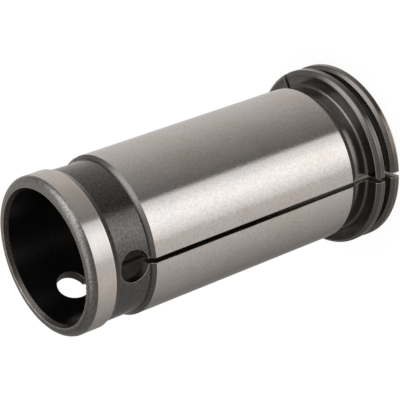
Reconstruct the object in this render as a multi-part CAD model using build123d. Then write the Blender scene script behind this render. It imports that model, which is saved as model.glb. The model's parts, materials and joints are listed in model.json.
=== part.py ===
from build123d import *
import math
import os

# Slotted reduction sleeve (straight collet) for a milling chuck, turned from one bar.
# Millimetres. It stands on the front face of its flange: the sleeve axis is +Z, the front
# face is z = 0 and the open rear end is at the top. One of the three slots faces -Y.

# Clamping body, ground to the bore of the chuck
body_diameter = 32.0
body_length = 49.1

# Flange at the front: two discs with an extractor groove between them
flange_overhang = 2.55
front_disc_width = 2.1
rear_disc_width = 1.9
groove_width = 2.0
groove_depth = 2.4
front_edge_chamfer = 0.35
disc_edge_chamfer = 0.65

# Relieved stretches on both sides of the clamping body: an undercut beside the flange that
# runs out to the body in a cone, and a neck between a conical shoulder with a rounded foot
# and the cone of the rear land
relief_depth = 0.8
undercut_width = 4.5
undercut_cone_angle = 30.0
flange_root_radius = 0.6
shoulder_length = 0.8
neck_root_radius = 0.5
neck_cone_length = 1.25

# Rear guide land, a little smaller than the clamping body. The rim is rounded before the
# land is ground, so grinding takes away the first stretch of the rounding and leaves an edge
land_clearance = 0.23
land_length = 4.05
rear_rounding = 1.6
rear_rounding_share = 0.8
ground_off_share = 0.1875

# Bore: the grip bore takes the tool shank, and the relief bore behind it is wider. The wall
# between the body and the grip bore makes that bore 25 mm wide
grip_wall = 3.5
relief_bore_clearance = 0.7
relief_bore_depth = 18.0
bore_step_angle = 30.0
rear_mouth_width = 0.56
rear_mouth_depth = 0.9
front_mouth_chamfer = 0.6

# Three slots that run from the relief holes out through the front face
slot_count = 3
first_slot_angle = -90.0
slot_width = 1.0
relief_hole_diameter = 6.4
relief_hole_edge_break = 0.12
shoulder_to_hole = 0.23
hole_to_cone = 0.13
cutter_overrun = 1.0

body_radius = body_diameter / 2
flange_radius = body_radius + flange_overhang
groove_radius = flange_radius - groove_depth
relief_radius = body_radius - relief_depth
land_radius = body_radius - land_clearance
grip_radius = body_radius - grip_wall
relief_bore_radius = grip_radius + relief_bore_clearance
rear_mouth_radius = relief_bore_radius + rear_mouth_width

# The rear rim is rounded by its own radius, or by most of its width where the wall is thin
rim_width = land_radius - rear_mouth_radius
rim_rounding = min(rear_rounding, rear_rounding_share * rim_width)
rim_centre_radius = land_radius - rim_rounding * math.sqrt(1 - ground_off_share**2)

# The neck is as long as the relief holes with their broken edges and clearances need
hole_mouth_radius = relief_hole_diameter / 2 + relief_hole_edge_break
neck_length = shoulder_to_hole + 2 * hole_mouth_radius + hole_to_cone

# The cone of the undercut is as long as its angle needs to reach the body
undercut_cone_length = relief_depth / math.tan(math.radians(undercut_cone_angle))

# Heights along the axis, from the front face to the rear end
groove_front = front_disc_width
groove_rear = groove_front + groove_width
flange_rear = groove_rear + rear_disc_width
body_front = flange_rear + undercut_width
body_rear = body_front + body_length
shoulder_foot = body_rear + shoulder_length
relief_hole_height = shoulder_foot + shoulder_to_hole + hole_mouth_radius
neck_rear = shoulder_foot + neck_length
land_front = neck_rear + neck_cone_length
land_rear = land_front + land_length
rim_centre_height = land_rear - rim_rounding * ground_off_share
overall_length = rim_centre_height + rim_rounding
bore_step_rear = overall_length - relief_bore_depth
bore_step_front = bore_step_rear - relief_bore_clearance / math.tan(math.radians(bore_step_angle))


def turned_section():
    """Half section of the sleeve in the XZ plane: X is the radius, Z the height."""
    outside = Polyline(
        (grip_radius + front_mouth_chamfer, 0),
        (flange_radius - front_edge_chamfer, 0),
        (flange_radius, front_edge_chamfer),
        (flange_radius, groove_front - disc_edge_chamfer),
        (flange_radius - disc_edge_chamfer, groove_front),
        (groove_radius, groove_front),
        (groove_radius, groove_rear),
        (flange_radius, groove_rear),
        (flange_radius, flange_rear - disc_edge_chamfer),
        (flange_radius - disc_edge_chamfer, flange_rear),
        (relief_radius, flange_rear),
        (relief_radius, body_front - undercut_cone_length),
        (body_radius, body_front),
        (body_radius, body_rear),
        (relief_radius, shoulder_foot),
        (relief_radius, neck_rear),
        (land_radius, land_front),
        (land_radius, land_rear),
    )
    rim_start_angle = math.degrees(math.asin(ground_off_share))
    rim = CenterArc(
        (rim_centre_radius, rim_centre_height), rim_rounding, rim_start_angle, 90 - rim_start_angle
    )
    inside = Polyline(
        (rim_centre_radius, overall_length),
        (rear_mouth_radius, overall_length),
        (relief_bore_radius, overall_length - rear_mouth_depth),
        (relief_bore_radius, bore_step_rear),
        (grip_radius, bore_step_front),
        (grip_radius, front_mouth_chamfer),
        (grip_radius + front_mouth_chamfer, 0),
    )
    section = make_face(outside + rim + inside)
    # Corner radii beside the flange and at the foot of the shoulder
    for height, corner_radius in [(flange_rear, flange_root_radius), (shoulder_foot, neck_root_radius)]:
        corner = section.vertices().sort_by_distance((relief_radius, height))[0]
        section = fillet(corner, corner_radius)
    return Plane.XZ * section


def turned_sleeve():
    """The sleeve as it leaves the lathe, before drilling and slotting."""
    return revolve(turned_section(), Axis.Z)


def slot_places():
    """Directions of the slots, evenly spaced around the axis, each along local X."""
    return PolarLocations(0, slot_count, start_angle=first_slot_angle)


def relief_hole_drills():
    """Radial drills through one wall, one at the rear end of each slot."""
    reach = flange_radius + cutter_overrun
    drill = Plane.YZ * Cylinder(
        relief_hole_diameter / 2, reach, align=(Align.CENTER, Align.CENTER, Align.MIN)
    )
    return slot_places() * (Pos(0, 0, relief_hole_height) * drill)


def slot_saws():
    """Saw blades that open each slot from the front face up to its relief hole."""
    reach = flange_radius + cutter_overrun
    blade = Pos(0, 0, -cutter_overrun) * Box(
        reach,
        slot_width,
        relief_hole_height + cutter_overrun,
        align=(Align.MIN, Align.CENTER, Align.MIN),
    )
    return slot_places() * blade


def break_hole_edges(sleeve):
    """Small chamfer around the outer mouth of each relief hole."""
    between_walls = (relief_radius + relief_bore_radius) / 2
    mouths = [
        edge
        for edge in sleeve.edges()
        if edge.geom_type not in (GeomType.LINE, GeomType.CIRCLE)
        and math.hypot(edge.position_at(0).X, edge.position_at(0).Y) > between_walls
    ]
    return chamfer(mouths, relief_hole_edge_break)


def collet_sleeve():
    """The finished sleeve: turned, drilled, deburred and slotted."""
    sleeve = turned_sleeve()
    for drill in relief_hole_drills():
        sleeve -= drill
    sleeve = break_hole_edges(sleeve)
    for blade in slot_saws():
        sleeve -= blade
    return sleeve


os.makedirs("parts", exist_ok=True)
part = collet_sleeve()
part.label = "collet_sleeve"
export_step(part, "parts/collet_sleeve.step")
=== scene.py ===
import json
import math
from collections import namedtuple

import bmesh
import bpy
import numpy as np
from bpy.props import FloatProperty, FloatVectorProperty, IntProperty, PointerProperty
from bpy.types import Operator, Panel, PropertyGroup
from mathutils import Matrix, Vector


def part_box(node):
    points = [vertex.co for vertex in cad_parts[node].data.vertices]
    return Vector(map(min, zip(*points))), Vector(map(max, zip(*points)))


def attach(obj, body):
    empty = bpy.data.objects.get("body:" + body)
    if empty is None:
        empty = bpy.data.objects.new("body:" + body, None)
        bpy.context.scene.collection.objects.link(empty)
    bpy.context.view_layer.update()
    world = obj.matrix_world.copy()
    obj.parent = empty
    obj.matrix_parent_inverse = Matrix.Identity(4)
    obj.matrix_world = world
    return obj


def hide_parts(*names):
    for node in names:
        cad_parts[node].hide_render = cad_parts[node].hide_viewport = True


bl_info = {
    "name": "Milling chuck reduction collet",
    "version": (1, 0, 0),
    "blender": (4, 5, 0),
    "location": "3D View > Sidebar > Collet",
    "description": "Dresses the slotted collet sleeve and sets its studio",
    "category": "Object",
}

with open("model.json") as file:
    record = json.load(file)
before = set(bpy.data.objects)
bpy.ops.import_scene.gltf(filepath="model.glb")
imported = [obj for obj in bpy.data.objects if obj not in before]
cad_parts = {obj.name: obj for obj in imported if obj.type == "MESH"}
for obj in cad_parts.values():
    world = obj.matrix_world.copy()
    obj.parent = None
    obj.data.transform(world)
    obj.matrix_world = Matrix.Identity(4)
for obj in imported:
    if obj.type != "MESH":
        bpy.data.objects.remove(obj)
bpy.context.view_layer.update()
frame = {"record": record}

NODE = "collet_sleeve"
BODY = "root"
MM = 0.001

# Surfaces of the sleeve in the order of its material slots
SURFACES = (
    "ground_body", "guide_land", "neck", "shoulder", "undercut_cone", "undercut", "flange_seat",
    "flange_rim", "front_rim", "flange_bevel", "groove", "front_face", "grip_bore",
    "relief_bore", "bore_mouth", "rear_rim", "hole_wall", "slot_wall", "broken_edge",
)


def mount(name):
    """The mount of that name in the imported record."""
    return next(m for m in frame["record"]["mounts"] if m["name"] == name)


def mount_radius(name):
    """Radius of a round mount, in metres."""
    return mount(name)["dims"]["r_mm"] * MM


def mount_height(name, side):
    """Height of a mount's middle (side 0) or of its lower or upper end (side -1 or 1), in metres."""
    half = mount(name)["dims"].get("length_mm", 0.0) * MM / 2
    return mount(name)["pos_m"][2] + side * half


def length(name, description, default):
    """A length property in metres."""
    return FloatProperty(
        name=name, description=description, default=default,
        unit="LENGTH", subtype="DISTANCE", precision=5,
    )


def angle(name, description, degrees):
    """An angle property, given in degrees."""
    return FloatProperty(
        name=name, description=description, default=math.radians(degrees),
        unit="ROTATION", subtype="ANGLE",
    )


def colour(name, description, default):
    """A linear colour property."""
    return FloatVectorProperty(
        name=name, description=description, default=default, subtype="COLOR", size=3, min=0.0, max=1.0
    )


class SleeveSizes(PropertyGroup):
    """Sizes of the turned sleeve, its slots and its relief holes."""

    flange_radius: length("Flange radius", "Outer radius of both discs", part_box(NODE)[1].x)
    overall_length: length("Overall length", "Front face to rear end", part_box(NODE)[1].z)
    body_radius: length("Body radius", "Ground clamping body", mount_radius("clamping_body"))
    body_front: length("Body front", "Lower end of the ground body", mount_height("clamping_body", -1))
    body_rear: length("Body rear", "Upper end of the ground body", mount_height("clamping_body", 1))
    undercut_cone: angle("Undercut cone", "Slope of the cone from the undercut to the body", 30.0)
    land_radius: length("Land radius", "Ground guide land at the rear", mount_radius("rear_land"))
    land_front: length("Land front", "Lower end of the guide land", mount_height("rear_land", -1))
    land_rear: length("Land rear", "Height where the land meets the rim", mount_height("rear_land", 1))
    land_cone: length("Land cone", "Length of the cone before the land", 1.25 * MM)
    rear_rounding: length("Rear rounding", "Radius of the rounded rear rim", 1.6 * MM)
    grip_radius: length("Grip radius", "Bore that holds the shank", mount_radius("grip_bore"))
    grip_rear: length("Grip rear", "Height where the grip bore ends", mount_height("grip_bore", 1))
    relief_bore_radius: length("Relief bore radius", "Wider bore at the rear", 13.2 * MM)
    relief_bore_front: length("Relief bore front", "Height where the wider bore starts", 56.0 * MM)
    mouth_radius: length("Mouth radius", "Rear mouth of the bore", 13.76 * MM)
    mouth_depth: length("Mouth depth", "Length of the rear mouth's bevel", 0.9 * MM)
    front_mouth_bevel: length("Front mouth bevel", "Bevel of the bore at the front face", 0.6 * MM)
    relief_radius: length("Relief radius", "Floor of the undercut and of the neck", 15.2 * MM)
    shoulder_length: length("Shoulder length", "Length of the shoulder's cone", 0.8 * MM)
    neck_root: length("Neck root", "Radius between shoulder and neck", 0.5 * MM)
    flange_root: length("Flange root", "Radius between undercut and flange", 0.6 * MM)
    flange_rear: length("Flange rear", "Height of the flange's seat", mount_height("flange_seat", 0))
    groove_front: length("Groove front", "Lower wall of the extractor groove", 2.1 * MM)
    groove_rear: length("Groove rear", "Upper wall of the extractor groove", 4.1 * MM)
    groove_depth: length("Groove depth", "Depth of the extractor groove", 2.4 * MM)
    disc_bevel: length("Disc bevel", "Bevel on the rear edge of each disc", 0.65 * MM)
    disc_rounding: length("Disc rounding", "Radius of the edges of the disc bevels", 0.45 * MM)
    front_bevel: length("Front bevel", "Bevel around the front face", 0.35 * MM)
    edge_rounding: length("Edge rounding", "Radius of the turned edges", 0.1 * MM)
    wear_reach: length("Wear reach", "How far wear spreads from an edge", 0.22 * MM)
    slot_width: length("Slot width", "Width of each slot", 1.0 * MM)
    slot_break: length("Slot edge break", "Deburred edge of slots and holes", 0.09 * MM)
    hole_radius: length("Hole radius", "Relief hole at the end of each slot", 3.2 * MM)
    hole_height: length("Hole height", "Height of the relief holes", 63.95 * MM)
    slot_count: IntProperty(name="Slots", description="Slots around the sleeve", default=3, min=1)
    first_slot: angle("First slot", "Direction of the first slot", -90.0)


class SleeveColours(PropertyGroup):
    """Colours of the sleeve's finishes."""

    ground_steel: colour("Ground steel", "Bright ground body and land", (0.64, 0.60, 0.573))
    land_steel: colour("Land steel", "Bright ground land, a little warmer", (0.65, 0.597, 0.553))
    tan_stain: colour("Tan stain", "Faint warm stains on the ground steel", (0.60, 0.55, 0.512))
    blue_stain: colour("Blue stain", "Faint cool stains on the ground steel", (0.60, 0.585, 0.577))
    worn_steel: colour("Worn steel", "Bare metal on broken and rubbed edges", (0.78, 0.70, 0.60))
    oxide: colour("Black oxide", "Satin black finish of the neck", (0.088, 0.081, 0.077))
    turned_oxide: colour("Turned oxide", "Thinner black on the turned flange", (0.125, 0.117, 0.111))
    rubbed_oxide: colour("Rubbed oxide", "Warmer, rubbed black on the front rim", (0.15, 0.125, 0.1))
    rim_oxide: colour("Rim oxide", "Coarse black on the rear rim", (0.195, 0.187, 0.178))
    brown_oxide: colour("Brown oxide", "Brownish, on drilled and sawn walls", (0.165, 0.147, 0.125))
    # Black oxide of the bore, darker than the oxide outside: partly real colour, partly painted shade
    # inside the bore
    bore_black_and_shade: colour("Bore black", "Dark finish inside the bore", (0.042, 0.039, 0.038))


class StudioSettings(PropertyGroup):
    """Camera and light of the studio."""

    camera_azimuth: angle("Camera azimuth", "Direction the camera looks in, 0 along +Y", 28.285)
    camera_elevation: angle("Camera elevation", "Angle above the horizon", 33.415)
    camera_roll: angle("Camera roll", "Turn of the camera about its line of sight", 110.251)
    camera_distance: length("Camera distance", "Camera to the aim point", 351.846 * MM)
    aim_x: length("Aim X", "Aim point of the camera", 0.121 * MM)
    aim_y: length("Aim Y", "Aim point of the camera", 0.065 * MM)
    aim_z: length("Aim height", "Aim point of the camera", 36.723 * MM)
    lens: FloatProperty(
        name="Lens", description="Focal length on a 36 mm sensor", default=160.269, unit="CAMERA"
    )
    floor_size: length("Floor size", "Side of the pale floor", 4.0)


class ColletSettings(PropertyGroup):
    """Everything that a user may change, by group."""

    sizes: PointerProperty(type=SleeveSizes)
    colours: PointerProperty(type=SleeveColours)
    studio: PointerProperty(type=StudioSettings)


def add_object(name, data):
    """A new object in the scene."""
    new = bpy.data.objects.new(name, data)
    bpy.context.scene.collection.objects.link(new)
    return new


# Outline of the turned sleeve

# A corner's edge value scales the wear or shade of its rounding
Corner = namedtuple("Corner", "radius height rounding surface edge", defaults=(1.0,))
Outline = namedtuple("Outline", "points normals surfaces edges")

# Roundings as shares of the edge rounding: ground edges, the edge between land and rim, the
# edge of the bore's mouth, and the corners of undercut and groove
GROUND_EDGE = 0.2
LAND_EDGE = 0.3
MOUTH_EDGE = 0.6
SOFT_CORNER = 2

# The rim's rounding is a little smaller than its full size, to leave room for the land's edge
RIM_SHARE = 0.99

# Edge values of corners without wear or shade, of the bore's mouth and of the land's front edge
PLAIN = 0.0
MOUTH_WEAR = 0.85
LAND_WEAR = 2.0

# Greatest angle between two points of an arc. A run of more than so many reaches of wear gets
# a point near each end, where the wear stops
ARC_STEP = math.radians(12)
LONG_RUN = 3


def front_corners(s, neck_front):
    """Corners from the front end of the neck's plain wall over the front face to the relief bore.
    Each gives the surface of the run that starts there."""
    small = s.edge_rounding
    ground = small * GROUND_EDGE
    soft = small * SOFT_CORNER
    groove_floor = s.flange_radius - s.groove_depth
    shoulder_foot = s.body_rear + s.shoulder_length
    undercut_rear = s.body_front - (s.body_radius - s.relief_radius) / math.tan(s.undercut_cone)
    return [
        Corner(s.relief_radius, neck_front, 0.0, "neck"),
        Corner(s.relief_radius, shoulder_foot, s.neck_root, "shoulder"),
        Corner(s.body_radius, s.body_rear, ground, "ground_body"),
        Corner(s.body_radius, s.body_front, ground, "undercut_cone"),
        Corner(s.relief_radius, undercut_rear, soft, "undercut"),
        Corner(s.relief_radius, s.flange_rear, s.flange_root, "flange_seat", PLAIN),
        Corner(s.flange_radius - s.disc_bevel, s.flange_rear, s.disc_rounding, "flange_bevel", PLAIN),
        Corner(s.flange_radius, s.flange_rear - s.disc_bevel, s.disc_rounding, "flange_rim", PLAIN),
        Corner(s.flange_radius, s.groove_rear, small, "groove"),
        Corner(groove_floor, s.groove_rear, soft, "groove"),
        Corner(groove_floor, s.groove_front, soft, "groove"),
        Corner(s.flange_radius - s.disc_bevel, s.groove_front, s.disc_rounding, "flange_bevel", PLAIN),
        Corner(s.flange_radius, s.groove_front - s.disc_bevel, s.disc_rounding, "front_rim", PLAIN),
        Corner(s.flange_radius, s.front_bevel, small, "front_rim"),
        Corner(s.flange_radius - s.front_bevel, 0.0, small, "front_face"),
        Corner(s.grip_radius + s.front_mouth_bevel, 0.0, small, "grip_bore"),
        Corner(s.grip_radius, s.front_mouth_bevel, small, "grip_bore"),
        Corner(s.grip_radius, s.grip_rear, small, "relief_bore"),
        Corner(s.relief_bore_radius, s.relief_bore_front, small, "relief_bore"),
        Corner(s.relief_bore_radius, neck_front, 0.0, "relief_bore"),
    ]


def rear_corners(s):
    """Corners from the relief bore over the rear rim to the rear end of the neck. Grinding took
    the first stretch of the rim's rounding, so the land meets it at an edge."""
    small = s.edge_rounding
    neck_rear = s.land_front - s.land_cone
    rim_height = s.overall_length - s.land_rear
    rim_start = math.asin(1 - rim_height / s.rear_rounding)
    rim_corner = s.land_radius - rim_height * math.tan(rim_start)
    return [
        Corner(s.relief_bore_radius, neck_rear, 0.0, "relief_bore"),
        Corner(s.relief_bore_radius, s.overall_length - s.mouth_depth, small, "bore_mouth", PLAIN),
        Corner(s.mouth_radius, s.overall_length, small * MOUTH_EDGE, "rear_rim", MOUTH_WEAR),
        Corner(rim_corner, s.overall_length, s.rear_rounding * RIM_SHARE, "rear_rim", PLAIN),
        Corner(s.land_radius, s.land_rear, small * LAND_EDGE, "guide_land"),
        Corner(s.land_radius, s.land_front, small, "neck", LAND_WEAR),
        Corner(s.relief_radius, neck_rear, 0.0, "neck"),
    ]


def run_normal(start, end):
    """Outward normal of a straight run, in radius and height. The metal is on its right."""
    run = np.subtract(end, start)
    return np.array((-run[1], run[0])) / np.hypot(*run)


def rounded_corner(before, corner, after):
    """Points and normals of a corner's arc, and 1 for an outer or -1 for an inner corner."""
    place = np.array((corner.radius, corner.height))
    back = place - (before.radius, before.height)
    ahead = np.array((after.radius, after.height)) - place
    back /= np.hypot(*back)
    ahead /= np.hypot(*ahead)
    side = math.copysign(1.0, back[1] * ahead[0] - back[0] * ahead[1])
    turn = math.acos(np.clip(back @ ahead, -1.0, 1.0))
    start = place - back * corner.rounding * math.tan(turn / 2)
    start_normal = np.array((-back[1], back[0]))
    out, up = start_normal
    centre = start - side * corner.rounding * start_normal
    steps = max(2, math.ceil(turn / ARC_STEP))
    points, normals = [], []
    for k in range(steps + 1):
        swing = -side * turn * k / steps
        cosine, sine = math.cos(swing), math.sin(swing)
        normal = np.array((cosine * out - sine * up, sine * out + cosine * up))
        points.append(centre + side * corner.rounding * normal)
        normals.append(normal)
    return points, normals, side


def rounded_outline(corners, reach):
    """The outline with every corner rounded, and with points beside each arc where wear ends."""
    places = [np.array((c.radius, c.height)) for c in corners]
    points, normals, surfaces, edges = [places[0]], [run_normal(places[0], places[1])], [], [0.0]
    surface = corners[0].surface

    def extend(new_points, new_normals, name, edge):
        for point, normal in zip(new_points, new_normals):
            points.append(point)
            normals.append(normal)
            surfaces.append(name)
            edges.append(edge)

    for k in range(1, len(corners)):
        if k < len(corners) - 1:
            arc, arc_normals, side = rounded_corner(corners[k - 1], corners[k], corners[k + 1])
        else:
            arc, arc_normals, side = [places[k]], [run_normal(places[k - 1], places[k])], 0.0
        run = arc[0] - points[-1]
        distance = np.hypot(*run)
        if distance > LONG_RUN * reach:
            supports = [points[-1] + run * reach / distance, arc[0] - run * reach / distance]
            extend(supports, [run_normal(points[-1], arc[0])] * 2, surface, 0.0)
        # The finish changes in the middle of the arc
        edge = side * corners[k].edge
        middle = len(arc) // 2 + 1
        extend(arc[:middle], arc_normals[:middle], surface, edge)
        surface = corners[k].surface
        extend(arc[middle:], arc_normals[middle:], surface, edge)
    return Outline(np.array(points), np.array(normals), surfaces, np.array(edges))


# One third of the sleeve around a slot, which Geometry Nodes repeats


def mesh_values(items, name, *shape, kind=np.float32):
    """A value of every item in one of a mesh's collections, each of the given shape."""
    values = np.empty((len(items), *shape), dtype=kind)
    items.foreach_get(name, values.ravel())
    return values


class Shell:
    """Collects grids of points into one mesh, with the surface of every face, the outline's
    normal at every corner and the edge value of every point."""

    def __init__(self):
        self.points, self.faces, self.surfaces = [], [], []
        self.normals, self.edges = [], []

    def grid(self, points, normals, edges, surfaces):
        """A grid of rows and columns. Normals and edges have one entry per row or are None."""
        rows, columns = points.shape[:2]
        first = len(self.points)
        self.points.extend(points.reshape(-1, 3).tolist())
        row_normals = np.zeros((rows, 2)) if normals is None else normals
        row_edges = np.zeros(rows) if edges is None else edges
        self.normals.extend(np.repeat(row_normals, columns, axis=0).tolist())
        self.edges.extend(np.repeat(row_edges, columns).tolist())
        for i in range(rows - 1):
            for j in range(columns - 1):
                a = first + i * columns + j
                self.faces.append((a, a + 1, a + columns + 1, a + columns))
                self.surfaces.append(SURFACES.index(surfaces[i]))

    def polygon(self, points, surface):
        """One flat face."""
        first = len(self.points)
        self.points.extend(np.asarray(points).tolist())
        self.normals.extend([(0.0, 0.0)] * len(points))
        self.edges.extend([0.0] * len(points))
        self.faces.append(tuple(range(first, first + len(points))))
        self.surfaces.append(SURFACES.index(surface))

    def mesh(self, name):
        """The collected faces as a mesh with its attributes."""
        mesh = bpy.data.meshes.new(name)
        mesh.from_pydata(self.points, [], self.faces)
        surface = mesh.attributes.new("surface", "INT", "FACE")
        surface.data.foreach_set("value", self.surfaces)
        edge = mesh.attributes.new("edge", "FLOAT", "POINT")
        edge.data.foreach_set("value", self.edges)
        owners = mesh_values(mesh.loops, "vertex_index", kind=np.int32)
        outline_normal = mesh.attributes.new("outline_normal", "FLOAT2", "CORNER")
        outline_normal.data.foreach_set("vector", np.array(self.normals)[owners].ravel())
        return mesh


def turned(radii, heights, angles):
    """Points of a turned surface: one row for each radius and height. The angles are one row,
    or one row for each radius."""
    radii, heights = np.asarray(radii)[:, None], np.asarray(heights)[:, None]
    angles = np.broadcast_to(angles, (len(radii), np.shape(angles)[-1]))
    return np.stack([radii * np.cos(angles), radii * np.sin(angles), heights + 0 * angles], axis=-1)


def beside_slot(radius, across, heights, depth):
    """Points on a cylinder at a sideways distance from the slot's middle plane, sunk by depth."""
    inwards = np.sqrt(radius**2 - np.square(across)) - depth
    return np.stack(np.broadcast_arrays(inwards, across, heights), axis=-1)


class Sector:
    """The third of the sleeve around one slot, which faces +X."""

    # Half the angle of the patch around the hole, the angle between two columns, and the numbers
    # of columns, rows, rings and steps. The clearance keeps the patch off the shoulder's root
    patch_angle = math.radians(18)
    column_angle = math.radians(2)
    slot_columns = 8
    side_rows = 8
    patch_rings = 4
    break_steps = 2
    root_clearance = 0.01 * MM

    def __init__(self, sizes):
        self.s = sizes
        self.shell = Shell()
        self.half_angle = math.pi / sizes.slot_count
        # Ends of the neck's plain wall, where the patch around the hole ends
        shoulder_slope = math.atan2(sizes.body_radius - sizes.relief_radius, sizes.shoulder_length)
        root_reach = sizes.neck_root * math.tan(shoulder_slope / 2)
        self.low = sizes.body_rear + sizes.shoulder_length + root_reach + self.root_clearance
        self.high = sizes.land_front - sizes.land_cone
        self.rise = np.linspace(self.low, self.high, self.side_rows + 1)
        self.front = rounded_outline(front_corners(sizes, self.low), sizes.wear_reach)
        self.rear = rounded_outline(rear_corners(sizes), sizes.wear_reach)
        # Steps of the rounded edge of slots and holes: growth of the gap, and depth
        swing = np.linspace(0, math.pi / 2, self.break_steps + 1)
        self.gaps = sizes.slot_break * (1 - np.sin(swing))
        self.depths = sizes.slot_break * (1 - np.cos(swing))
        self.slot_halves = sizes.slot_width / 2 + self.gaps
        self.hole_radii = sizes.hole_radius + self.gaps

    def side_angles(self):
        """Columns from the patch around the hole to the middle between two slots."""
        count = round((self.half_angle - self.patch_angle) / self.column_angle)
        return np.linspace(self.patch_angle, self.half_angle, count + 1)

    def slot_angles(self, radii):
        """Columns from the slot's edge to the end of the hole's patch, one row per radius."""
        starts = np.arcsin(self.slot_halves[0] / np.asarray(radii))[:, None]
        return starts + (self.patch_angle - starts) * np.linspace(0, 1, self.slot_columns + 1)

    def top_angles(self):
        """Columns across the patch at its rear end, from one side to the other."""
        count = round(2 * self.patch_angle / self.column_angle)
        return np.linspace(self.patch_angle, -self.patch_angle, count + 1)

    def front_part(self):
        """Outside, front face and bore beside the slot, on both of its sides."""
        radii, heights = self.front.points.T
        near = self.slot_angles(radii)
        for side in (1, -1):
            for angles in (near, self.side_angles()):
                points = turned(radii, heights, side * angles)
                self.shell.grid(points, self.front.normals, self.front.edges, self.front.surfaces)

    def rear_part(self):
        """Mouth, rear rim and guide land, which no slot reaches."""
        radii, heights = self.rear.points.T
        sides = self.side_angles()
        for angles in (sides, self.top_angles(), -sides):
            points = turned(radii, heights, angles)
            self.shell.grid(points, self.rear.normals, self.rear.edges, self.rear.surfaces)

    def patch_outline(self, radius):
        """Sideways places and heights around the patch, from one slot edge to the other."""
        bottom, top = self.slot_angles([radius])[0], self.top_angles()
        angles = np.concatenate([
            bottom, np.full(self.side_rows, self.patch_angle), top[1:],
            np.full(self.side_rows, -self.patch_angle), -bottom[::-1][1:],
        ])
        heights = np.concatenate([
            np.full(len(bottom), self.low), self.rise[1:], np.full(len(top) - 1, self.high),
            self.rise[::-1][1:], np.full(len(bottom) - 1, self.low),
        ])
        return radius * np.sin(angles), heights

    def hole_ring(self, step, count):
        """Sideways places and heights around the hole at one step of its broken edge."""
        radius, half = self.hole_radii[step], self.slot_halves[step]
        start = math.atan2(-math.sqrt(radius**2 - half**2), half)
        swing = np.linspace(start, math.pi - start, count)
        return radius * np.cos(swing), self.s.hole_height + radius * np.sin(swing)

    def neck_part(self, radius, normal, surface):
        """The wall around the relief hole, on the outside or in the bore."""
        across, heights = self.patch_outline(radius)
        hole_across, hole_heights = self.hole_ring(0, len(across))
        share = np.linspace(0, 1, self.patch_rings + 1)[:, None]
        ring_across = hole_across + (across - hole_across) * share
        ring_heights = hole_heights + (heights - hole_heights) * share
        points = beside_slot(radius, ring_across, ring_heights, 0.0)
        normals = np.tile(normal, (len(points), 1))
        self.shell.grid(points, normals, None, [surface] * self.patch_rings)
        radii = np.full(len(self.rise), radius)
        normals = np.tile(normal, (len(self.rise), 1))
        for side in (1, -1):
            points = turned(radii, self.rise, side * self.side_angles())
            self.shell.grid(points, normals, None, [surface] * self.side_rows)

    def hole_part(self):
        """Wall of the relief hole and its broken edges, from the outside to the bore."""
        count = len(self.patch_outline(self.s.relief_radius)[0])
        steps = list(range(self.break_steps + 1))
        rows = []
        for radius, order, sign in (
            (self.s.relief_radius, steps, 1),
            (self.s.relief_bore_radius, steps[::-1], -1),
        ):
            for step in order:
                across, heights = self.hole_ring(step, count)
                rows.append(beside_slot(radius, across, heights, sign * self.depths[step]))
        broken = ["broken_edge"] * self.break_steps
        self.shell.grid(np.array(rows), None, None, broken + ["hole_wall"] + broken)

    def slot_path(self, step):
        """Points along the slot's edge at one step of its rounding, from the hole's outer mouth
        around the front face to its inner mouth."""
        half, depth = self.slot_halves[step], self.depths[step]
        # Height at which the slot's edge meets the hole
        hole = self.hole_ring(step, 2)[1][0]
        fall = hole + (self.low - hole) * np.linspace(0, 1, self.patch_rings + 1)
        outer = beside_slot(self.s.relief_radius, half, fall, depth)
        inner = beside_slot(self.s.relief_bore_radius, half, fall[::-1], -depth)
        radii = self.front.points[:, 0]
        sunk = self.front.points - depth * self.front.normals
        along = np.stack([
            np.sqrt(radii**2 - half**2) - radii + sunk[:, 0], np.full(len(radii), half), sunk[:, 1]
        ], axis=-1)
        return np.concatenate([outer, along[1:-1], inner])

    def slot_part(self):
        """Broken edges and flat walls on both sides of the slot."""
        for side in (1, -1):
            flip = np.array((1, side, 1))
            paths = [self.slot_path(step) * flip for step in range(self.break_steps + 1)]
            self.shell.grid(np.array(paths), None, None, ["broken_edge"] * self.break_steps)
            self.shell.polygon(paths[-1], "slot_wall")

    def mesh(self):
        """The whole third as one mesh with open sides."""
        self.front_part()
        self.rear_part()
        self.neck_part(self.s.relief_radius, (1.0, 0.0), "neck")
        self.neck_part(self.s.relief_bore_radius, (-1.0, 0.0), "relief_bore")
        self.hole_part()
        self.slot_part()
        return self.shell.mesh("sleeve_third")


# Geometry Nodes tree that repeats the third around the axis and gives each surface its finish

# Points that meet at a seam lie closer than this and are merged
SEAM_DISTANCE = 0.002 * MM

# Faces that meet at more than this angle keep a sharp edge, unless they are turned
SHARP_ANGLE = math.radians(40)


def link(tree, source, target):
    """Links an output socket to an input socket, or sets the input to a plain value."""
    if isinstance(source, bpy.types.NodeSocket):
        tree.links.new(source, target)
    else:
        target.default_value = source


def math_node(tree, operation, *values):
    """Output of a Math node of that operation. A value is a socket or a number."""
    node = tree.nodes.new("ShaderNodeMath")
    node.operation = operation
    for value, socket in zip(values, node.inputs):
        link(tree, value, socket)
    return node.outputs[0]


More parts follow.
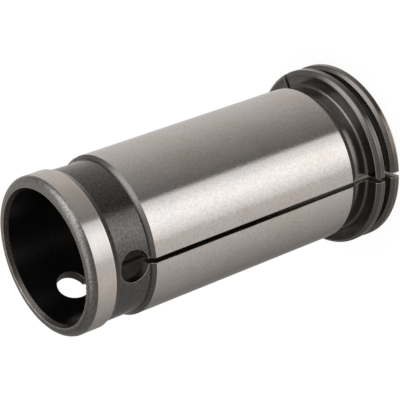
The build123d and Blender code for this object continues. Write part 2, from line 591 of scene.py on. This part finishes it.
def repeat_tree(materials):
    """The node tree: instances of the third, realized, merged and dressed surface by surface."""
    tree = bpy.data.node_groups.new("repeat_around_axis", "GeometryNodeTree")
    sockets = {
        name: tree.interface.new_socket(name, in_out="INPUT", socket_type="NodeSocket" + kind)
        for name, kind in (
            ("Geometry", "Geometry"), ("Slots", "Int"), ("First Slot", "Float"),
            ("Seam Distance", "Float"),
        )
    }
    tree.interface.new_socket("Geometry", in_out="OUTPUT", socket_type="NodeSocketGeometry")
    nodes = tree.nodes
    given = nodes.new("NodeGroupInput")
    places = nodes.new("GeometryNodeMeshLine")
    places.mode = "OFFSET"
    link(tree, given.outputs["Slots"], places.inputs["Count"])
    places.inputs["Offset"].default_value = (0.0, 0.0, 0.0)
    index = nodes.new("GeometryNodeInputIndex")
    pitch = math_node(tree, "DIVIDE", math.tau, given.outputs["Slots"])
    turn = math_node(tree, "MULTIPLY_ADD", index.outputs[0], pitch, given.outputs["First Slot"])
    rotation = nodes.new("ShaderNodeCombineXYZ")
    link(tree, turn, rotation.inputs["Z"])
    instances = nodes.new("GeometryNodeInstanceOnPoints")
    link(tree, places.outputs["Mesh"], instances.inputs["Points"])
    link(tree, given.outputs["Geometry"], instances.inputs["Instance"])
    link(tree, rotation.outputs[0], instances.inputs["Rotation"])
    merge = nodes.new("GeometryNodeMergeByDistance")
    realize = nodes.new("GeometryNodeRealizeInstances")
    link(tree, instances.outputs[0], realize.inputs[0])
    link(tree, realize.outputs[0], merge.inputs["Geometry"])
    link(tree, given.outputs["Seam Distance"], merge.inputs["Distance"])
    surface = nodes.new("GeometryNodeInputNamedAttribute")
    surface.data_type = "INT"
    surface.inputs["Name"].default_value = "surface"
    dressed = merge.outputs[0]
    for number, material in enumerate(materials):
        same = nodes.new("FunctionNodeCompare")
        same.data_type, same.operation = "INT", "EQUAL"
        # The third and fourth sockets compare whole numbers
        attribute_input, number_input = same.inputs[2:4]
        link(tree, surface.outputs["Attribute"], attribute_input)
        number_input.default_value = number
        paint = nodes.new("GeometryNodeSetMaterial")
        link(tree, dressed, paint.inputs["Geometry"])
        link(tree, same.outputs[0], paint.inputs["Selection"])
        paint.inputs["Material"].default_value = material
        dressed = paint.outputs[0]
    link(tree, dressed, nodes.new("NodeGroupOutput").inputs[0])
    return tree, {name: socket.identifier for name, socket in sockets.items()}


def smooth_turned_faces(mesh):
    """Gives each corner of a turned face the exact normal of the outline."""
    with_edges = bmesh.new()
    with_edges.from_mesh(mesh)
    bmesh.ops.recalc_face_normals(with_edges, faces=with_edges.faces)
    for face in with_edges.faces:
        face.smooth = True
    with_edges.to_mesh(mesh)
    with_edges.free()
    mesh.set_sharp_from_angle(angle=SHARP_ANGLE)
    outline = mesh_values(mesh.attributes["outline_normal"].data, "vector", 2)
    normals = mesh_values(mesh.corner_normals, "vector", 3)
    owners = mesh_values(mesh.loops, "vertex_index", kind=np.int32)
    x, y = mesh_values(mesh.vertices, "co", 3)[owners, :2].T
    out, up = outline.T
    radii = np.hypot(x, y)
    is_turned = outline.any(axis=1)
    exact = np.stack([out * x / radii, out * y / radii, up], axis=-1)
    normals[is_turned] = exact[is_turned]
    mesh.normals_split_custom_set(normals.tolist())
    mesh.attributes.remove(mesh.attributes["outline_normal"])


# Shader node groups, which put out masks and heights only

# Detail and roughness of a noise
Grain = namedtuple("Grain", "detail roughness")
RING_GRAIN = Grain(3.0, 0.6)
PATCH_GRAIN = Grain(2.0, 0.5)
SPARKLE_GRAIN = Grain(4.0, 0.7)
STAIN_GRAIN = Grain(3.0, 0.5)
WEAR_GRAIN = Grain(3.0, 0.6)

# Noise seldom leaves this range around the middle
NOISE_LOW, NOISE_HIGH = 0.3, 0.7
MIDDLE = 0.5

# How quickly wear and corner shade fall off beside an edge, and how uneven the wear is
WEAR_FALLOFF = 3.0
SHADE_FALLOFF = 2.0
WEAR_CONTRAST = 2.0
WEAR_OFFSET = -0.2


def new_group(name, inputs, outputs):
    """An empty shader node group with float sockets, its input node and its output node."""
    group = bpy.data.node_groups.new(name, "ShaderNodeTree")
    for socket_name, default in inputs.items():
        socket = group.interface.new_socket(socket_name, in_out="INPUT", socket_type="NodeSocketFloat")
        socket.default_value = default
    for socket_name in outputs:
        group.interface.new_socket(socket_name, in_out="OUTPUT", socket_type="NodeSocketFloat")
    return group, group.nodes.new("NodeGroupInput"), group.nodes.new("NodeGroupOutput")


def noise(tree, vector, scale, grain):
    """Factor of a noise texture."""
    node = tree.nodes.new("ShaderNodeTexNoise")
    link(tree, vector, node.inputs["Vector"])
    link(tree, scale, node.inputs["Scale"])
    node.inputs["Detail"].default_value = grain.detail
    node.inputs["Roughness"].default_value = grain.roughness
    return node.outputs["Fac"]


def stretched(tree, value):
    """A noise stretched from its usual range to between 0 and 1."""
    node = tree.nodes.new("ShaderNodeMapRange")
    link(tree, value, node.inputs["Value"])
    node.inputs["From Min"].default_value = NOISE_LOW
    node.inputs["From Max"].default_value = NOISE_HIGH
    return node.outputs[0]


def off_middle(tree, mask, amount):
    """How far a mask lies from its middle, times an amount."""
    return math_node(tree, "MULTIPLY", math_node(tree, "SUBTRACT", mask, MIDDLE), amount)


def shaded_place(tree, kind="Object"):
    """The shaded point on the piece, or with kind Generated a direction of the world."""
    return tree.nodes.new("ShaderNodeTexCoord").outputs[kind]


def parts_of(tree, vector):
    """X, Y and Z of a vector."""
    node = tree.nodes.new("ShaderNodeSeparateXYZ")
    link(tree, vector, node.inputs[0])
    return node.outputs


def rings_group():
    """Fine rings around the axis, as a tool or a grinding wheel leaves them."""
    group, given, put = new_group(
        "turning_rings", {"Scale": 3000.0, "Patch Scale": 350.0, "Break Up": 0.3}, ("Mask",)
    )
    place = shaded_place(group)
    x, y, height = parts_of(group, place)
    squares = math_node(group, "MULTIPLY_ADD", x, x, math_node(group, "MULTIPLY", y, y))
    across = group.nodes.new("ShaderNodeCombineXYZ")
    link(group, math_node(group, "SQRT", squares), across.inputs[0])
    link(group, height, across.inputs[1])
    rings = noise(group, across.outputs[0], given.outputs["Scale"], RING_GRAIN)
    patches = noise(group, place, given.outputs["Patch Scale"], PATCH_GRAIN)
    softened = off_middle(group, patches, given.outputs["Break Up"])
    link(group, math_node(group, "ADD", rings, softened), put.inputs["Mask"])
    return group


def speckle_group():
    """Fine sparkle of a satin oxide or a ground surface, and large soft stains."""
    group, given, put = new_group(
        "metal_speckle", {"Scale": 4500.0, "Stain Scale": 100.0}, ("Sparkle", "Stains")
    )
    place = shaded_place(group)
    fine = noise(group, place, given.outputs["Scale"], SPARKLE_GRAIN)
    link(group, stretched(group, fine), put.inputs["Sparkle"])
    broad = noise(group, place, given.outputs["Stain Scale"], STAIN_GRAIN)
    link(group, stretched(group, broad), put.inputs["Stains"])
    return group


def edge_group():
    """Worn outer edges and painted shade in inner corners, from the mesh's edge attribute and noise.
    """
    group, given, put = new_group(
        "edge_wear_and_shade", {"Wear": 0.5, "Scale": 900.0}, ("Worn", "Corner Shade")
    )
    attribute = group.nodes.new("ShaderNodeAttribute")
    attribute.attribute_name = "edge"
    edge = attribute.outputs["Fac"]
    patches = noise(group, shaded_place(group), given.outputs["Scale"], WEAR_GRAIN)
    outer = math_node(group, "POWER", math_node(group, "MAXIMUM", edge, 0.0), WEAR_FALLOFF)
    rubbed = math_node(group, "MULTIPLY", outer, given.outputs["Wear"])
    patchy = math_node(group, "MULTIPLY_ADD", patches, WEAR_CONTRAST, WEAR_OFFSET)
    worn = group.nodes.new("ShaderNodeClamp")
    link(group, math_node(group, "MULTIPLY", rubbed, patchy), worn.inputs["Value"])
    link(group, worn.outputs[0], put.inputs["Worn"])
    inner = math_node(group, "MULTIPLY", math_node(group, "MINIMUM", edge, 0.0), -1.0)
    link(group, math_node(group, "POWER", inner, SHADE_FALLOFF), put.inputs["Corner Shade"])
    return group


# Finishes of the surfaces and their materials

# Roughness is the metal's own, coat a clear film over it. Rings and speckle are shares by
# which the colour varies, and bump is the strength of their relief. Wear brightens edges and
# shade darkens inner corners. A metallic level under 1 dulls the steel, and a grazing level
# under 1 keeps a finish dark where it is seen at a flat angle
Finish = namedtuple(
    "Finish",
    "colour stains roughness coat coat_roughness rings ring_scale speckle speckle_scale"
    " bump wear shade metallic grazing",
    defaults=(1.0, 1.0),
)

# How strongly rings and speckle change the roughness, and how deep they are
ROUGHNESS_SHARE = 0.15
RELIEF_DEPTH = 0.04 * MM


def times(tone, factor):
    """A colour property made lighter or darker by a factor."""
    return [factor * value for value in tone]


def finishes(c):
    """Finish of every surface."""
    ground = Finish(
        colour=c.ground_steel, stains=(c.tan_stain, c.blue_stain), roughness=0.09,
        coat=0.0, coat_roughness=0.0, rings=0.08, ring_scale=5000.0,
        speckle=0.17, speckle_scale=2400.0, bump=0.26, wear=0.3, shade=0.0,
    )
    black = Finish(
        colour=c.oxide, stains=(), roughness=0.15, coat=0.8, coat_roughness=0.12,
        rings=0.08, ring_scale=4000.0, speckle=0.5, speckle_scale=2600.0,
        bump=0.28, wear=0.35, shade=0.4,
    )
    turned_black = black._replace(
        colour=c.turned_oxide, roughness=0.28, coat_roughness=0.27,
        rings=0.3, ring_scale=4500.0, speckle=0.25, speckle_scale=3800.0, bump=0.2,
    )
    rim = turned_black._replace(
        roughness=0.18, coat=0.6, coat_roughness=0.18, rings=0.7, ring_scale=2600.0,
    )
    coarse = black._replace(
        colour=c.rim_oxide, roughness=0.32, coat=1.0, coat_roughness=0.28,
        speckle=0.55, speckle_scale=3000.0, bump=0.4, wear=0.9,
    )
    # The relief bore's colour is partly painted shade
    inside = Finish(
        colour=c.bore_black_and_shade, stains=(), roughness=0.35, coat=0.4, coat_roughness=0.35,
        rings=0.4, ring_scale=2600.0, speckle=0.2, speckle_scale=4500.0,
        bump=0.1, wear=0.2, shade=0.4,
    )
    brown = inside._replace(colour=c.brown_oxide, roughness=0.4, coat=0.6)
    return {
        "ground_body": ground,
        "guide_land": ground._replace(
            colour=c.land_steel, roughness=0.14, rings=0.2, speckle=0.05, bump=0.015, metallic=0.88,
        ),
        "neck": black._replace(grazing=0.8),
        "shoulder": turned_black._replace(rings=0.1, wear=0.0, shade=0.5),
        # Much lighter than the oxide around it: painted light on the cone, which mirrors the flange's
        # dark seat
        "undercut_cone": turned_black._replace(
            colour=times(c.oxide, 2.5), roughness=0.45, coat_roughness=0.4,
        ),
        "undercut": turned_black._replace(
            colour=times(c.turned_oxide, 1.15), roughness=0.15, coat=0.9, coat_roughness=0.14,
            rings=0.1, wear=0.0,
        ),
        "flange_seat": turned_black._replace(
            colour=times(c.oxide, 1.2), roughness=0.16, coat=0.35, coat_roughness=0.14,
            rings=0.9, ring_scale=2600.0,
        ),
        "flange_rim": rim,
        "front_rim": rim._replace(colour=c.rubbed_oxide),
        "flange_bevel": turned_black._replace(wear=0.0),
        # Lighter than the flange's turned oxide: painted light in the groove, against its own shade
        "groove": turned_black._replace(colour=times(c.turned_oxide, 1.6), wear=0.5),
        "front_face": turned_black,
        # Brown oxide, three times as light as the turned oxide: partly real colour, partly painted
        # light on the far wall seen through the relief holes
        "grip_bore": brown._replace(colour=times(c.turned_oxide, 3), roughness=0.6),
        "relief_bore": inside,
        "bore_mouth": coarse._replace(colour=times(c.brown_oxide, 0.3), coat=0.6),
        "rear_rim": coarse,
        "hole_wall": brown._replace(colour=times(c.brown_oxide, 0.22)),
        "slot_wall": brown,
        "broken_edge": Finish(
            colour=times(c.worn_steel, 0.6), stains=(times(c.brown_oxide, 0.4), c.worn_steel),
            roughness=0.4, coat=0.0, coat_roughness=0.0, rings=0.1, ring_scale=3500.0,
            speckle=0.5, speckle_scale=3500.0, bump=0.15, wear=0.0, shade=0.0,
        ),
    }


def placed_group(tree, group, values):
    """The outputs of a shader group placed in a material with its own values."""
    node = tree.nodes.new("ShaderNodeGroup")
    node.node_tree = group
    for name, value in values.items():
        node.inputs[name].default_value = value
    return node.outputs


def mixed(tree, factor, first, second):
    """A colour between two."""
    node = tree.nodes.new("ShaderNodeMix")
    node.data_type = "RGBA"
    link(tree, factor, node.inputs["Factor"])
    for value, socket in ((first, node.inputs["A"]), (second, node.inputs["B"])):
        link(tree, value if isinstance(value, bpy.types.NodeSocket) else (*value, 1.0), socket)
    return node.outputs["Result"]


def scaled(tree, tone, factor):
    """A colour made lighter or darker by a factor."""
    node = tree.nodes.new("ShaderNodeVectorMath")
    node.operation = "SCALE"
    link(tree, tone, node.inputs[0])
    link(tree, factor, node.inputs["Scale"])
    return node.outputs[0]


def stained(tree, mask, finish):
    """The finish's own colour, with its stains where the mask is lowest and highest."""
    if not finish.stains:
        return finish.colour
    node = tree.nodes.new("ShaderNodeValToRGB")
    link(tree, mask, node.inputs["Fac"])
    stops = node.color_ramp.elements
    stops.new(MIDDLE)
    for stop, tone in zip(stops, (finish.stains[0], finish.colour, finish.stains[1])):
        stop.color = (*tone, 1.0)
    return node.outputs["Color"]


def new_material(name):
    """A new material with its node tree and its shader."""
    material = bpy.data.materials.new(name)
    material.use_nodes = True
    return material, material.node_tree, material.node_tree.nodes["Principled BSDF"]


def make_material(name, finish, groups, worn_colour):
    """The material of one surface."""
    material, tree, shader = new_material("collet_" + name)
    rings = placed_group(tree, groups["rings"], {"Scale": finish.ring_scale})["Mask"]
    specks = placed_group(tree, groups["speckle"], {"Scale": finish.speckle_scale})
    edges = placed_group(tree, groups["edges"], {"Wear": finish.wear})
    # Twice the share, because a mask leaves its middle by half at most
    ring_part = off_middle(tree, rings, 2 * finish.rings)
    speck_part = off_middle(tree, specks["Sparkle"], 2 * finish.speckle)
    texture = math_node(tree, "ADD", ring_part, speck_part)
    shade = math_node(tree, "MULTIPLY", edges["Corner Shade"], finish.shade)
    level = math_node(tree, "SUBTRACT", math_node(tree, "ADD", texture, 1.0), shade)
    tone = stained(tree, specks["Stains"], finish)
    plain = scaled(tree, tone, math_node(tree, "MAXIMUM", level, 0.0))
    link(tree, mixed(tree, edges["Worn"], plain, worn_colour), shader.inputs["Base Color"])
    rough = math_node(tree, "MULTIPLY_ADD", texture, ROUGHNESS_SHARE, finish.roughness)
    link(tree, rough, shader.inputs["Roughness"])
    shader.inputs["Metallic"].default_value = finish.metallic
    shader.inputs["Specular Tint"].default_value = (*[finish.grazing] * 3, 1.0)
    if finish.coat:
        bare = math_node(tree, "SUBTRACT", 1.0, edges["Worn"])
        film = math_node(tree, "MULTIPLY", math_node(tree, "MULTIPLY", level, finish.coat), bare)
        link(tree, film, shader.inputs["Coat Weight"])
        shader.inputs["Coat Roughness"].default_value = finish.coat_roughness
    bump = tree.nodes.new("ShaderNodeBump")
    bump.inputs["Strength"].default_value = finish.bump
    bump.inputs["Distance"].default_value = RELIEF_DEPTH
    link(tree, texture, bump.inputs["Height"])
    link(tree, bump.outputs["Normal"], shader.inputs["Normal"])
    return material


# Studio

# Light by direction, as pairs of a place and a level: what the upright walls mirror, light at
# the level of the horizon, and light from above. A place is the angle around the body at which
# the camera sees that light. The mirrored direction turns twice as fast as the wall does, so
# 180 degrees of places make the whole circle. It starts at the first place, behind the part
LOW_LIGHT = (
    (-8, 0.65), (16, 0.66), (30, 0.54), (48, 0.33), (62, 0.195), (65.2, 0.195), (67.2, 0.93),
    (71, 1.12), (76, 1.42), (82, 1.44), (88, 1.18), (94.3, 0.85), (94.6, 0.72), (100, 0.67),
    (112, 0.60), (128, 0.41), (148, 0.22), (160, 0.22), (168, 0.52),
)
LEVEL_LIGHT = (
    (-8, 0.45), (20, 0.38), (35, 0.42), (44, 1.0), (60, 1.1), (66, 0.52), (78, 0.2), (100, 0.28),
    (125, 0.3), (150, 0.26), (168, 0.3),
)
HIGH_LIGHT = (
    (-8, 0.64), (4, 0.5), (28, 0.55), (34, 2.45), (60, 2.45), (68, 0.95), (80, 0.48), (98, 0.38),
    (122, 0.38), (145, 0.26), (160, 0.13),
)
FIRST_PLACE = -11.5
WHOLE_CIRCLE = 180
CIRCLE_START = math.radians(118.3)

# Light from straight below and above, the plain light on the floor, and what the camera sees
UNDER_LIGHT = (0.3, 0.3, 0.3)
OVER_LIGHT = (1.3, 1.3, 1.3)
PLAIN_LIGHT = (0.9, 0.9, 0.9)
WHITE = (1.0, 1.0, 1.0)

# Angles above the horizon, in degrees, between which one light gives way to the next
UNDER_TO_LOW = (-80, -50)
LOW_TO_LEVEL = (-25, -5)
LEVEL_TO_HIGH = (8, 28)
HIGH_TO_OVER = (50, 75)

# Levels under the neutral one are warmer: they lose these shares of green and blue, times a
# warmth that grows up to the warmest
NEUTRAL_LEVEL = 1.2
WARMEST = 0.5
GREEN_LOSS = 0.07
BLUE_LOSS = 0.14

# The floor's grey under the light, its glow, and how much of the glow the camera sees
FLOOR_GREY = 0.85
FLOOR_GLOW = 1.1
GLOW_SHARE = 0.8

# The camera's sensor in millimetres, and how near and how far it sees in metres
SENSOR_WIDTH = 36.0
CLIP_START, CLIP_END = 0.01, 10.0


def light_ramp(tree, factor, stops):
    """Colour of a ramp with a grey stop for each place and level. A ramp holds levels up to 1, so
    it gets a share of the brightest and the colour is scaled up again."""
    brightest = max(level for place, level in stops)
    node = tree.nodes.new("ShaderNodeValToRGB")
    link(tree, factor, node.inputs["Fac"])
    elements = node.color_ramp.elements
    while len(elements) < len(stops):
        elements.new(1.0)
    for element, (place, level) in zip(elements, stops):
        element.position = (place - FIRST_PLACE) / WHOLE_CIRCLE
        warmth = min(WARMEST, max(0.0, 1 - level / NEUTRAL_LEVEL))
        share = level / brightest
        green, blue = share * (1 - GREEN_LOSS * warmth), share * (1 - BLUE_LOSS * warmth)
        element.color = (share, green, blue, 1.0)
    return scaled(tree, node.outputs["Color"], brightest)


def smooth_step(tree, rise, angles):
    """0 below the first angle above the horizon and 1 above the second."""
    blend = tree.nodes.new("ShaderNodeMapRange")
    blend.interpolation_type = "SMOOTHSTEP"
    link(tree, rise, blend.inputs["Value"])
    for name, degrees in zip(("From Min", "From Max"), angles):
        blend.inputs[name].default_value = math.sin(math.radians(degrees))
    return blend.outputs[0]


def world_light():
    """The studio around the part: white for the camera, plain light for the floor, and for the
    metal a bright band, a dark gap and soft greys, by direction around the axis."""
    world = bpy.data.worlds.new("studio")
    world.use_nodes = True
    bpy.context.scene.world = world
    tree = world.node_tree
    background = tree.nodes["Background"]
    x, y, rise = parts_of(tree, shaded_place(tree, "Generated"))
    azimuth = math_node(tree, "ARCTAN2", y, x)
    # Share of the circle, clockwise from the direction behind the part
    turn = math_node(tree, "SUBTRACT", CIRCLE_START, azimuth)
    share = math_node(tree, "FRACT", math_node(tree, "DIVIDE", turn, math.tau))
    low = light_ramp(tree, share, LOW_LIGHT)
    level = light_ramp(tree, share, LEVEL_LIGHT)
    high = light_ramp(tree, share, HIGH_LIGHT)
    under = mixed(tree, smooth_step(tree, rise, UNDER_TO_LOW), UNDER_LIGHT, low)
    lower = mixed(tree, smooth_step(tree, rise, LOW_TO_LEVEL), under, level)
    upper = mixed(tree, smooth_step(tree, rise, HIGH_TO_OVER), high, OVER_LIGHT)
    studio = mixed(tree, smooth_step(tree, rise, LEVEL_TO_HIGH), lower, upper)
    rays = tree.nodes.new("ShaderNodeLightPath").outputs
    seen = math_node(tree, "MAXIMUM", rays["Is Camera Ray"], rays["Is Transmission Ray"])
    plain = mixed(tree, rays["Is Glossy Ray"], PLAIN_LIGHT, studio)
    link(tree, mixed(tree, seen, plain, WHITE), background.inputs["Color"])


def floor_material():
    """Pale floor that the camera sees as white, with a soft shadow of the part."""
    material, tree, shader = new_material("studio_floor")
    shader.inputs["Base Color"].default_value = (*[FLOOR_GREY] * 3, 1.0)
    shader.inputs["Roughness"].default_value = 1.0
    shader.inputs["Specular IOR Level"].default_value = 0.0
    glow = tree.nodes.new("ShaderNodeEmission")
    glow.inputs["Strength"].default_value = FLOOR_GLOW
    white = tree.nodes.new("ShaderNodeMixShader")
    rays = tree.nodes.new("ShaderNodeLightPath").outputs
    link(tree, math_node(tree, "MULTIPLY", rays["Is Camera Ray"], GLOW_SHARE), white.inputs[0])
    link(tree, shader.outputs[0], white.inputs[1])
    link(tree, glow.outputs[0], white.inputs[2])
    link(tree, white.outputs[0], tree.nodes["Material Output"].inputs["Surface"])
    return material


def make_floor(size):
    """A large pale floor under the part."""
    mesh = bpy.data.meshes.new("studio_floor")
    half = size / 2
    corners = [(-half, -half, 0), (half, -half, 0), (half, half, 0), (-half, half, 0)]
    mesh.from_pydata(corners, [], [(0, 1, 2, 3)])
    mesh.materials.append(floor_material())
    floor = add_object("studio_floor", mesh)
    floor.visible_glossy = False


def make_camera(t):
    """The camera at the photograph's angle. The sleeve stands upright, so it is rolled."""
    data = bpy.data.cameras.new("camera")
    data.lens = t.lens
    data.sensor_width = SENSOR_WIDTH
    data.clip_start, data.clip_end = CLIP_START, CLIP_END
    camera = add_object("camera", data)
    aim = Vector((t.aim_x, t.aim_y, t.aim_z))
    azimuth, elevation = t.camera_azimuth, t.camera_elevation
    flat = math.cos(elevation)
    sight = Vector((-math.sin(azimuth) * flat, math.cos(azimuth) * flat, -math.sin(elevation)))
    level = sight.to_track_quat("-Z", "Y").to_matrix()
    rolled = level @ Matrix.Rotation(-t.camera_roll, 3, "Z")
    camera.matrix_world = Matrix.Translation(aim - sight * t.camera_distance) @ rolled.to_4x4()
    bpy.context.scene.camera = camera


class COLLET_OT_sleeve(Operator):
    """Build the turned, drilled and slotted sleeve with its finishes"""

    bl_idname = "collet.sleeve"
    bl_label = "Build sleeve"

    def execute(self, context):
        sizes = context.scene.collet.sizes
        colours = context.scene.collet.colours
        groups = {"rings": rings_group(), "speckle": speckle_group(), "edges": edge_group()}
        look = finishes(colours)
        materials = [
            make_material(name, look[name], groups, colours.worn_steel) for name in SURFACES
        ]
        third = add_object("sleeve_third", Sector(sizes).mesh())
        tree, sockets = repeat_tree(materials)
        modifier = third.modifiers.new("repeat", "NODES")
        modifier.node_group = tree
        modifier[sockets["Slots"]] = sizes.slot_count
        modifier[sockets["First Slot"]] = sizes.first_slot
        modifier[sockets["Seam Distance"]] = SEAM_DISTANCE
        evaluated = third.evaluated_get(context.evaluated_depsgraph_get())
        mesh = bpy.data.meshes.new_from_object(evaluated)
        smooth_turned_faces(mesh)
        sleeve = add_object("turned_sleeve", mesh)
        bpy.data.meshes.remove(third.data)
        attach(sleeve, BODY)
        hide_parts(NODE)
        return {"FINISHED"}


class COLLET_OT_studio(Operator):
    """Set the floor, the light and the camera"""

    bl_idname = "collet.studio"
    bl_label = "Set studio"

    def execute(self, context):
        studio = context.scene.collet.studio
        world_light()
        make_floor(studio.floor_size)
        make_camera(studio)
        context.scene.view_settings.view_transform = "Standard"
        return {"FINISHED"}


class COLLET_PT_sidebar(Panel):
    """Lists the build steps and the sizes"""

    bl_idname = "COLLET_PT_sidebar"
    bl_label = "Collet"
    bl_space_type = "VIEW_3D"
    bl_region_type = "UI"
    bl_category = "Collet"

    def draw(self, context):
        settings = context.scene.collet
        self.layout.operator(COLLET_OT_sleeve.bl_idname)
        self.layout.operator(COLLET_OT_studio.bl_idname)
        for group in (settings.sizes, settings.colours, settings.studio):
            box = self.layout.box()
            for name in group.__annotations__:
                box.prop(group, name)


CLASSES = (
    SleeveSizes,
    SleeveColours,
    StudioSettings,
    ColletSettings,
    COLLET_OT_sleeve,
    COLLET_OT_studio,
    COLLET_PT_sidebar,
)


def register():
    """Registers the classes and gives every scene its settings."""
    for cls in CLASSES:
        bpy.utils.register_class(cls)
    bpy.types.Scene.collet = PointerProperty(type=ColletSettings)


def unregister():
    """Takes out what register put in."""
    del bpy.types.Scene.collet
    for cls in reversed(CLASSES):
        bpy.utils.unregister_class(cls)


def main():
    """Registers the add-on and builds the part and its studio."""
    register()
    bpy.ops.collet.sleeve()
    bpy.ops.collet.studio()


if __name__ == "__main__":
    main()
